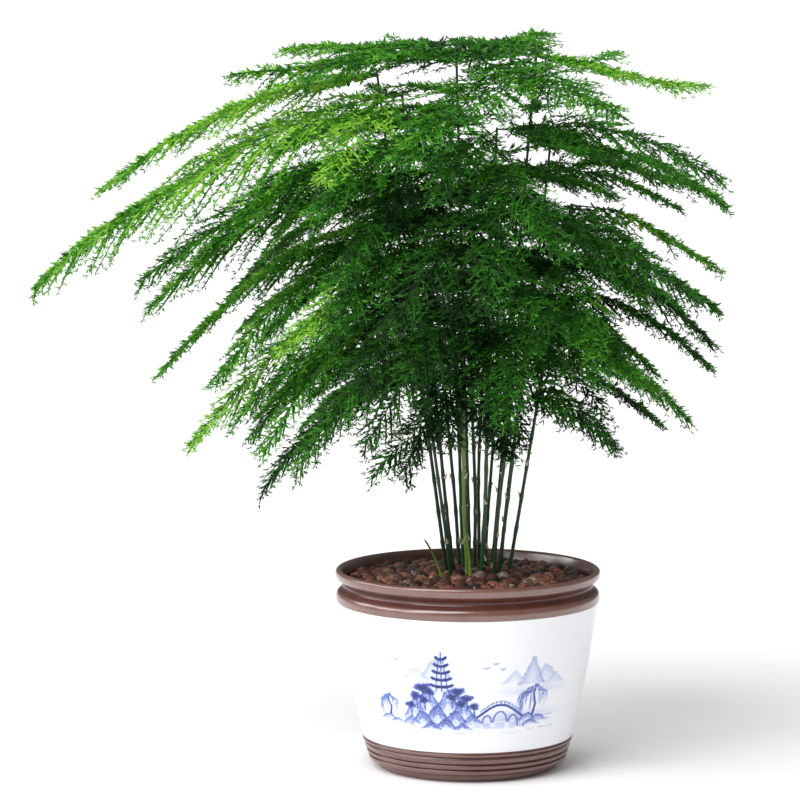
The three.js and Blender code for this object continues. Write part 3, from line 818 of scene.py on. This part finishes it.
class Picture:  # brush work: every point of the belly holds how much cobalt lies on it
    def __init__(self, u, v):
        self.u, self.v = u, v
        self.ink = np.zeros_like(u)
        self.grain = 0.5 + 0.25 * np.sin(u * 1.7 + 2 * np.sin(v * 0.9)) + 0.25 * np.sin(v * 2.3 + u * 0.6)

    def lay(self, cover, strength):
        cover = np.clip(cover, 0, 1) * strength
        self.ink = 1 - (1 - self.ink) * (1 - cover)

    def stroke(self, line, width, strength, taper=0.0):  # one pull of the brush along a line
        for i, ((ax, ay), (bx, by)) in enumerate(zip(line, line[1:])):
            dx, dy = bx - ax, by - ay
            along = np.clip(((self.u - ax) * dx + (self.v - ay) * dy) / (dx * dx + dy * dy + 1e-9), 0, 1)
            away = np.hypot(self.u - ax - along * dx, self.v - ay - along * dy)
            share = (i + along) / (len(line) - 1)
            w = width * (1 - taper * share) / 2
            self.ink = np.maximum(self.ink, strength * np.clip((w - away) / 0.5 + 0.5, 0, 1))

    def blob(self, x, y, wide, tall, strength, ragged=0.2):  # a dab with an uneven edge
        angle = np.arctan2((self.v - y) / tall, (self.u - x) / wide)
        edge = 1 + ragged * (0.5 * np.sin(5 * angle + x) + 0.5 * np.sin(9 * angle + 2 * y))
        away = np.hypot((self.u - x) / wide, (self.v - y) / tall) / edge
        inside = np.clip((1 - away) * min(wide, tall) / 0.8 + 0.4, 0, 1)
        self.lay(inside * (0.65 + 0.5 * self.grain), strength)

    def hill(self, x, base, wide, tall, strength, fade=0.5):  # a mound with a dark crest that pales downwards
        crest = base + tall * np.exp(-(((self.u - x) / wide) ** 2) * 2.2) * (
            1 + 0.06 * np.sin(self.u * 0.9 + x) + 0.04 * np.sin(self.u * 2.1 + 2 * x)
        )
        depth = crest - self.v
        inside = np.clip(depth / 0.6 + 0.5, 0, 1) * np.clip((self.v - base) / 2.0 + 0.3, 0, 1)
        near = np.abs(self.u - x) < wide * 1.15
        shade = np.exp(-np.maximum(depth, 0) / (tall * fade + 0.5))
        self.ink = np.where(inside * near > 0.5, self.ink * 0.25, self.ink)
        self.lay(inside * near * (0.12 + 0.88 * shade) * (0.7 + 0.4 * self.grain), strength)

    def wash(self, x, y, wide, tall, strength):
        self.lay(np.exp(-(((self.u - x) / wide) ** 2) - ((self.v - y) / tall) ** 2), strength)


def paintLandscape(p):  # a lake with a pagoda on its island, an arched bridge, willows and far hills
    # far hills and their mist, to the right and behind
    for hill in (
        (58, 62, 12, 13, 0.34), (47, 61, 10, 20, 0.42), (67, 60, 9, 8, 0.26),
        (34, 63, 9, 9, 0.28), (-20, 66, 12, 15, 0.4), (-34, 65, 11, 9, 0.3), (-62, 60, 10, 7, 0.2),
    ):
        p.hill(*hill, 0.4)
    for mist in ((50, 57, 24, 3, 0.14), (-30, 60, 22, 3, 0.14), (-5, 36, 48, 4, 0.16), (40, 40, 26, 3, 0.18)):
        p.wash(*mist)
    # the island: stacked rocks, darkest at the crests
    for x, base, wide, tall, strength in (
        (-26, 40, 11, 22, 0.8), (-12, 41, 10, 19, 0.85), (-36, 38, 9, 15, 0.75), (-2, 39, 9, 13, 0.8),
        (-20, 35, 10, 13, 0.95), (-7, 34, 10, 10, 0.9), (-31, 33, 10, 10, 0.9), (5, 34, 8, 7, 0.85),
        (-14, 30, 9, 8, 1.0), (-40, 33, 7, 6, 0.8), (-25, 29.5, 8, 6, 0.95), (-2, 30, 7, 5, 0.9),
    ):
        p.hill(x, base, wide, tall, strength, 0.3)
        for k in (0.35, 0.6):
            rib = [
                (x + wide * 0.65 * (s - 0.5), base + tall * (0.86 - k * 0.6 - 1.1 * (s - 0.5) ** 2))
                for s in (0, 0.25, 0.5, 0.75, 1)
            ]
            p.stroke(rib, 0.7, strength * 0.8)
    # the pagoda of five roofs
    for level in range(5):
        y = 58 + 5 * level
        half = 7.4 - 1.05 * level
        p.ink = np.where((np.abs(p.u + 16) < half * 0.55) & (p.v > y - 0.5) & (p.v < y + 4.4), 0.1, p.ink)
        for side in (-1, 1):
            p.stroke([(-16 + side * half * 0.55, y - 0.5), (-16 + side * half * 0.5, y + 3.4)], 0.7, 0.8)
        p.stroke([(-16, y), (-16, y + 2.2)], 1.2, 0.75)
        eaves = (-1, -0.75, -0.4, 0, 0.4, 0.75, 1)
        roof = [(-16 + half * s, y + 3 + 1.3 * abs(s) ** 3 + 0.2 * abs(s)) for s in eaves]
        p.stroke(roof, 2.0, 1.0)
    p.stroke([(-16, 82.5), (-16, 87.5)], 0.9, 0.95, 0.6)
    # round-headed trees on the island
    for x, y, size in (
        (-30, 60, 5.0), (-35, 54, 4.4), (-25, 57, 3.8), (-5, 58, 4.8), (1, 53, 4.4), (-9, 54, 3.6),
        (6, 47, 3.8), (-40, 47, 3.8), (-29, 51, 3.6), (-3, 49, 3.4),
    ):
        p.stroke([(x, y), (x + 0.6, y - size * 2.0)], 0.9, 0.8)
        for k in range(7):
            turn = k * 2.399 + x
            reach = size * 0.62 * sqrt(k / 7)
            dabX, dabY = x + reach * cos(turn) * 1.3, y + reach * sin(turn) * 0.8
            p.blob(dabX, dabY, size * 0.5, size * 0.34, 0.75, 0.3)
    # the arched bridge to the right bank
    deck = [(8 + 34 * i / 12, 39 + 9 * sin(pi * i / 12) ** 1.2) for i in range(13)]
    p.stroke(deck, 1.5, 0.95)
    p.stroke([(x, y + 2.6) for x, y in deck[1:-1]], 0.55, 0.75)
    for x, y in deck[1:-1]:
        p.stroke([(x, y), (x, y + 2.8)], 0.5, 0.7)
    for x, r in ((15.5, 3.2), (25, 5.0), (34.5, 3.2)):
        arch = [(x + r * cos(pi * i / 8), 35.5 + 1.5 * r * sin(pi * i / 8)) for i in range(9)]
        p.stroke(arch, 0.9, 0.85)
        for k in range(3):
            p.stroke([(x - r * 0.7, 34 - 1.5 * k), (x + r * 0.7, 34 - 1.5 * k)], 0.5, 0.4)
    # the right bank with a willow, the left bank with a smaller one
    for bank in ((46, 35, 9, 6, 0.85), (55, 34, 10, 5, 0.8), (49, 32, 8, 4, 0.9)):
        p.hill(*bank, 0.35)
    for x, y, tall, spread in ((50, 39, 22, 13), (-58, 38, 15, 9)):
        trunk = [(x, y), (x + 1.5, y + tall * 0.35), (x - 0.5, y + tall * 0.7), (x + 1, y + tall)]
        p.stroke(trunk, 1.9, 0.9, 0.5)
        for k in range(26):
            aside, other = 2 * chance(k, 3) - 1, chance(k, 8)
            twigX = x + spread * aside
            twigY = y + tall * (1.02 - 0.35 * abs(aside) ** 1.5) - 2 * other
            fall = tall * (0.35 + 0.4 * other)
            out = copysign(1, aside)
            twig = [(x + spread * aside * 0.35, twigY + 0.6), (twigX, twigY)]
            twig += [(twigX + 0.9 * out, twigY - fall * 0.5), (twigX + 0.7 * out, twigY - fall)]
            p.stroke(twig, 0.75, 0.62, 0.6)
    for bank in ((-60, 34, 9, 4.5), (-52, 32.5, 8, 3.4)):
        p.hill(*bank, 0.8, 0.35)
    # ripples, reeds and far geese
    for k in range(34):
        x = -66 + 132 * chance(k, 11)
        y = 27 + 11 * chance(k, 17)
        wide = 3 + 6 * chance(k, 23)
        p.stroke([(x - wide, y), (x, y - 0.35), (x + wide, y)], 0.5, 0.22 + 0.2 * chance(k, 29), 0.3)
    for k in range(12):
        x = (-48 if k % 2 else 38) + 9 * chance(k, 31)
        tip = (x + 1.2 * (chance(k, 37) - 0.5), 36 + 3 * chance(k, 41))
        p.stroke([(x, 31 + chance(k, 5)), tip], 0.5, 0.7, 0.5)
    for x, y, size in ((14, 74, 2.2), (20, 77, 1.9), (25, 73, 1.6), (-48, 78, 1.8)):
        wings = ((-1, 0.7), (-0.4, 1.1), (0, 0), (0.5, 1.2), (1, 0.9))
        p.stroke([(x + size * out, y + rise) for out, rise in wings], 0.55, 0.6)


raw, cutter = potMesh(), drainCutter()
drill = raw.modifiers.new("drain holes", "BOOLEAN")
drill.object, drill.operation, drill.solver = cutter, "DIFFERENCE", "EXACT"
graph = bpy.context.evaluated_depsgraph_get()
potBody = bpy.data.meshes.new_from_object(raw.evaluated_get(graph), depsgraph=graph)
for spent in (raw, cutter):
    bpy.data.objects.remove(spent)
stoneware = bpy.data.objects.new("stoneware_pot", potBody)
bpy.context.scene.collection.objects.link(stoneware)
places = np.empty(len(potBody.vertices) * 3)
potBody.vertices.foreach_get("co", places)
places = places.reshape(-1, 3) / mm
turn = np.arctan2(places[:, 0], -places[:, 1])
across, up = turn * pot["pictureRound"], places[:, 2] - pot["pictureLift"]
picture = Picture(across / pot["pictureSize"] + pot["pictureAside"], up / pot["pictureSize"])
paintLandscape(picture)
height, radius = places[:, 2], np.hypot(places[:, 0], places[:, 1])
onBelly = (radius > 78.5) & (height > pot["pictureLow"] + 0.5) & (height < pot["pictureHigh"] - 0.5)
onBelly &= np.abs(turn) < radians(pot["pictureHalf"] - 1)
giveAttribute(potBody, "ink", np.where(onBelly, picture.ink, 0))
# the foot's grooves darkest and its crests darker than the rim's: glaze pooling with painted shade low down;
# the rim and lip crests lightest: thin glaze with painted highlight
toGroove = np.min([np.abs(height - z) for z in pot["ridges"]], axis=0)
pool = np.where(height < pot["bellyLow"], np.clip(1.1 - toGroove / 1.1, 0.38, 1), 0.5)
for low, high, out, depth in pot["poolsAndPaintedShade"]:
    pool = np.where((height > low) & (height < high) & (radius > out), depth, pool)
giveAttribute(potBody, "pool", pool)
potBody.polygons.foreach_set("use_smooth", [True] * len(potBody.polygons))
finished(stoneware, ["pot"])
print("pot turned, drilled and painted")


# The clay pebbles

gravel = {
    "pitch": 10.3,
    "smallest": 4.3,
    "largest": 6.3,
    "unevenness": 0.2,
    "layers": 2,
    "layerRise": 8.2,
    "wallRadius": 90.5,
    "surface": 135,  # height of the bed that the pebbles lie on, without its heap
    "sunk": 4,  # the lowest layer's middles under that surface
    "crest": 10.5,  # that no pebble reaches above it
    "heap": 5,
    "settling": 90,  # rounds of pushing apart
    "rowShare": 0.87,  # distance of two rows of touching balls, as a share of their width
    "touch": 0.97,  # distance of two pebbles' middles as a share of their radii, since they are uneven
    "stemRoom": 1.6,
    "push": 0.25,  # shares of the way to go in one round: apart, away from a stem and back to the bed
    "stemPush": 0.5,
    "fall": 0.12,
}

# Fired clay balls, wet from watering: rough red-brown skin with a thin gloss, some black, orange or grey.
clayLook, tree, surface = newMaterial(
    "wet fired clay pebbles", {"Roughness": 0.4, "Coat Weight": 0.8, "Coat Roughness": 0.1}
)
tone = addNode(tree, "ShaderNodeAttribute", output="Fac", attribute_name="tone")
place = addNode(tree, "ShaderNodeTexCoord", output="Object")
grit = {"Vector": place, "Scale": 480.0, "Detail": 3.0, "Roughness": 0.7}  # grains of about 2 mm
speckle = addNode(tree, "ShaderNodeTexNoise", grit)
clays = [(0.0, "#1f110b"), (0.35, "#583123"), (0.7, "#844e3c"), (0.88, "#ab6546"), (0.95, "#957769")]
clays.append((1.0, "#b9a79e"))
mottled = addNode(tree, "ShaderNodeMapRange", {"Value": speckle, "From Min": 0.38, "From Max": 0.66})
darkPit, paleGrain = (0.4, 0.37, 0.35, 1), (1.8, 1.75, 1.7, 1)
speckled = addNode(tree, "ShaderNodeMix", {0: mottled, 6: darkPit, 7: paleGrain}, data_type="RGBA")
skin = {0: 1.0, 6: addNode(tree, "ShaderNodeValToRGB", {"Fac": tone}, stops=clays), 7: speckled}
skin = addNode(tree, "ShaderNodeMix", skin, data_type="RGBA", blend_type="MULTIPLY")
tree.links.new(skin, surface["Base Color"])
bump = addNode(tree, "ShaderNodeBump", {"Strength": 1.0, "Distance": 0.003, "Height": speckle})
tree.links.new(bump, surface["Normal"])


def bedHeight(x, y):
    return gravel["surface"] + gravel["heap"] * np.exp(-((x - clump["x"]) ** 2 + (y - clump["y"]) ** 2) / 1800)


def settledPebbles():  # random places, pushed apart until the pebbles only touch
    draw = np.random.default_rng(7)
    wall = gravel["wallRadius"]
    count = int(gravel["layers"] * pi * wall**2 / (gravel["pitch"] ** 2 * gravel["rowShare"]))
    radius = draw.uniform(gravel["smallest"], gravel["largest"], count)
    around, out = draw.uniform(0, 2 * pi, count), wall * np.sqrt(draw.uniform(0, 1, count))
    p = np.stack([out * np.cos(around), out * np.sin(around), np.zeros(count)], axis=1)
    level = gravel["layerRise"] * (np.arange(count) % gravel["layers"]) - gravel["sunk"]
    p[:, 2] = bedHeight(p[:, 0], p[:, 1]) + level
    feet = np.array([caneAt(c, clump["pebbleTop"]) for c in range(clump["canes"])])
    for turnNumber in range(gravel["settling"]):
        gap = p[:, None, :] - p[None, :, :]
        distance = np.sqrt((gap**2).sum(axis=2)) + np.eye(count) * 99
        short = np.clip((radius[:, None] + radius[None, :]) * gravel["touch"] - distance, 0, None)
        p += (gap / distance[:, :, None] * short[:, :, None]).sum(axis=1) * gravel["push"]
        for foot in feet:  # room for the stems
            away = p[:, :2] - foot
            distance = np.hypot(away[:, 0], away[:, 1])
            short = np.clip(radius + gravel["stemRoom"] - distance, 0, None)
            p[:, :2] += away / distance[:, None] * short[:, None] * gravel["stemPush"]
        out = np.hypot(p[:, 0], p[:, 1])
        p[:, :2] *= np.minimum(1, (wall - radius * 0.9) / out)[:, None]
        p[:, 2] += (bedHeight(p[:, 0], p[:, 1]) + level - p[:, 2]) * gravel["fall"]
    p[:, 2] = np.minimum(p[:, 2], bedHeight(p[:, 0], p[:, 1]) + gravel["crest"] - radius)
    return p, radius, draw.uniform(0, 1, count)


def pebbleTree(sizes):
    tree, given, out = newTree("pebbles", sizes)
    add = partial(addNode, tree)
    strong = add("ShaderNodeMath", {0: given["unevenness"], 1: 5.0}, operation="MULTIPLY")
    shapes = []
    for seed in range(5):
        ball = add("GeometryNodeMeshIcoSphere", {"Radius": 1.0, "Subdivisions": 2})
        lumps = {"Vector": add("GeometryNodeInputPosition"), "W": seed * 3.7, "Scale": 1.3}
        noise = add("ShaderNodeTexNoise", lumps, "Color", noise_dimensions="4D")
        middle = add("ShaderNodeVectorMath", {0: noise, 1: (0.5, 0.5, 0.5)}, operation="SUBTRACT")
        push = add("ShaderNodeVectorMath", {0: middle, "Scale": strong}, operation="SCALE")
        lumpy = add("GeometryNodeSetPosition", {"Geometry": ball, "Offset": push})
        smooth = add("GeometryNodeSetShadeSmooth", {"Geometry": lumpy})
        shapes.append(add("GeometryNodeGeometryToInstance", {0: smooth}))
    anyWay = {0: (0, 0, 0), 1: (6.28, 6.28, 6.28), 8: 3}
    placed = {
        "Points": given["Geometry"],
        "Instance": add("GeometryNodeJoinGeometry", {0: shapes}),
        "Pick Instance": True,
        "Instance Index": add("FunctionNodeRandomValue", {4: 0, 5: 4, 8: 4}, data_type="INT"),
        "Rotation": add("FunctionNodeRandomValue", anyWay, data_type="FLOAT_VECTOR"),
        "Scale": add("GeometryNodeInputNamedAttribute", {"Name": "size"}),
    }
    placed = add("GeometryNodeInstanceOnPoints", placed)
    solid = add("GeometryNodeRealizeInstances", {"Geometry": placed})
    tree.links.new(add("GeometryNodeSetMaterial", {"Geometry": solid, "Material": clayLook}), out)
    return tree


spots, radii, tones = settledPebbles()
host = meshObject("pebble_spots", spots.tolist())
giveAttribute(host.data, "size", radii * mm)
giveAttribute(host.data, "tone", tones)
sizes = {"unevenness": gravel["unevenness"]}
pebbles = grown(host, pebbleTree(sizes), sizes, "loose_clay_pebbles")
finished(pebbles, ["clay_pebbles"])

# Potting soil: crumbly, matt, almost black; it shows only through the drain holes.
soilLook, tree, surface = newMaterial("moist potting soil", {"Roughness": 0.95})
place = addNode(tree, "ShaderNodeTexCoord", output="Object")
crumbly = {"Vector": place, "Scale": 400.0, "Detail": 4.0}  # crumbs of about 2.5 mm
crumbs = addNode(tree, "ShaderNodeTexNoise", crumbly)
earths = [(0.35, "#1c130d"), (0.7, "#4a3524")]
tree.links.new(addNode(tree, "ShaderNodeValToRGB", {"Fac": crumbs}, stops=earths), surface["Base Color"])
soilMesh = frame["nodes"]["soil"].data
soilMesh.materials.clear()
soilMesh.materials.append(soilLook)
print("pebbles and soil laid")


# The young shoots

shoots = {
    "left": {"node": "young_shoot_left", "foot": (-19, -3), "lean": (-14, -4), "height": 36},
    "front": {"node": "young_shoot_front", "foot": (2, -17), "lean": (-5, -5), "height": 52},
    "radius": 1.25,
    "sides": 10,
    "rings": 40,
    "buried": 0.3,  # as a share of the height above the pebbles
    "taper": 0.45,
    "budSwell": 0.25,  # of the bud scales, from this share of the height up
    "budFrom": 0.55,
}

# Young asparagus shoot: tender, smooth and yellow-green, with a duller tip.
tender = [(0.0, "#93a93c"), (0.5, "#5f8a33"), (1.0, "#3f6a2c")]
shootLook = tonedMaterial("young shoot skin", "tone", tender, {"Roughness": 0.4})

for side in ("left", "front"):
    shoot = shoots[side]
    rings, tones = [], []
    for i in range(shoots["rings"]):
        share = (1 + shoots["buried"]) * i / (shoots["rings"] - 1) - shoots["buried"]
        above = max(0, share)
        bud = shoots["budSwell"] * max(0, share - shoots["budFrom"]) * abs(sin(share * 26))
        end = min(1, (1.0 - share) * 14 + 0.05)
        rings.append((
            shoot["foot"][0] + shoot["lean"][0] * above**1.6,
            shoot["foot"][1] + shoot["lean"][1] * above**1.6,
            clump["pebbleTop"] - 4 + shoot["height"] * share,
            shoots["radius"] * (1 - shoots["taper"] * above + bud) * sqrt(end),
        ))
        tones += [above] * shoots["sides"]
    spear = meshObject("spear_" + shoot["node"], *stackedRings(rings, shoots["sides"]))
    giveAttribute(spear.data, "tone", tones)
    spear.data.materials.append(shootLook)
    spear.data.polygons.foreach_set("use_smooth", [True] * len(spear.data.polygons))
    finished(spear, [shoot["node"]])
print("young shoots raised")


# Floor, light and camera

studio = {
    # each light: degrees down from straight above, degrees round from the front to the left, strength, and the
    # width in degrees of the softbox that it stands for
    "lights": {
        "key": (38, 34, 1.85, 40),
        "left": (66, 52, 0.6, 25),
        "side": (66, 80, 0.6, 25),
        "rear": (66, 108, 0.55, 25),
    },
    "background": "#f4f4f4",
    "backgroundStrength": 0.58,
    "reflectedStrength": 0.16,  # the dark room round the set, as the glaze mirrors it
    "floorHalf": 90,
    "lens": 181.3,
    "cameraPlace": (-0.0511, -3.0, 0.630),
    "footBelow": 363.7,  # pixels from the picture's middle down to the middle of the foot
    "focalPixels": 4029,  # the lens in pixels
}
half = studio["floorHalf"]
corners = [(-half, -half, 0), (half, -half, 0), (half, half, 0), (-half, half, 0)]
floorMesh = meshObject("pale_floor", corners, [(0, 1, 2, 3)], scale=1)
paper = {"Base Color": linear("#fbfbfb"), "Roughness": 1, "Specular IOR Level": 0}
floorMesh.data.materials.append(newMaterial("pale studio paper", paper)[0])

world = bpy.data.worlds.new("studio")
world.use_nodes = True
backdrop = world.node_tree.nodes["Background"].inputs
backdrop["Color"].default_value = linear(studio["background"])
mirrored = addNode(world.node_tree, "ShaderNodeLightPath", output="Is Glossy Ray")
strengths = {0: mirrored, 2: studio["backgroundStrength"], 3: studio["reflectedStrength"]}
world.node_tree.links.new(addNode(world.node_tree, "ShaderNodeMix", strengths), backdrop["Strength"])
bpy.context.scene.world = world

for name, (down, aside, strength, softness) in studio["lights"].items():
    light = bpy.data.lights.new("soft " + name + " light", "SUN")
    light.energy = strength
    light.angle = radians(softness)
    lamp = bpy.data.objects.new(light.name, light)
    down, aside = radians(down), radians(aside)
    away = Vector((-sin(down) * sin(aside), -sin(down) * cos(aside), cos(down)))
    lamp.rotation_euler = away.to_track_quat("Z", "Y").to_euler()
    bpy.context.scene.collection.objects.link(lamp)

view = bpy.data.cameras.new("camera")
view.lens = studio["lens"]
view.sensor_width = 36
camera = bpy.data.objects.new("camera", view)
camera.location = studio["cameraPlace"]
toFoot = atan2(camera.location.z, -camera.location.y)
pitch = toFoot - atan(studio["footBelow"] / studio["focalPixels"])
camera.rotation_euler = (pi / 2 - pitch, 0, 0)
bpy.context.scene.collection.objects.link(camera)
bpy.context.scene.camera = camera
bpy.context.scene.view_settings.view_transform = "Standard"
print("floor, light and camera set")
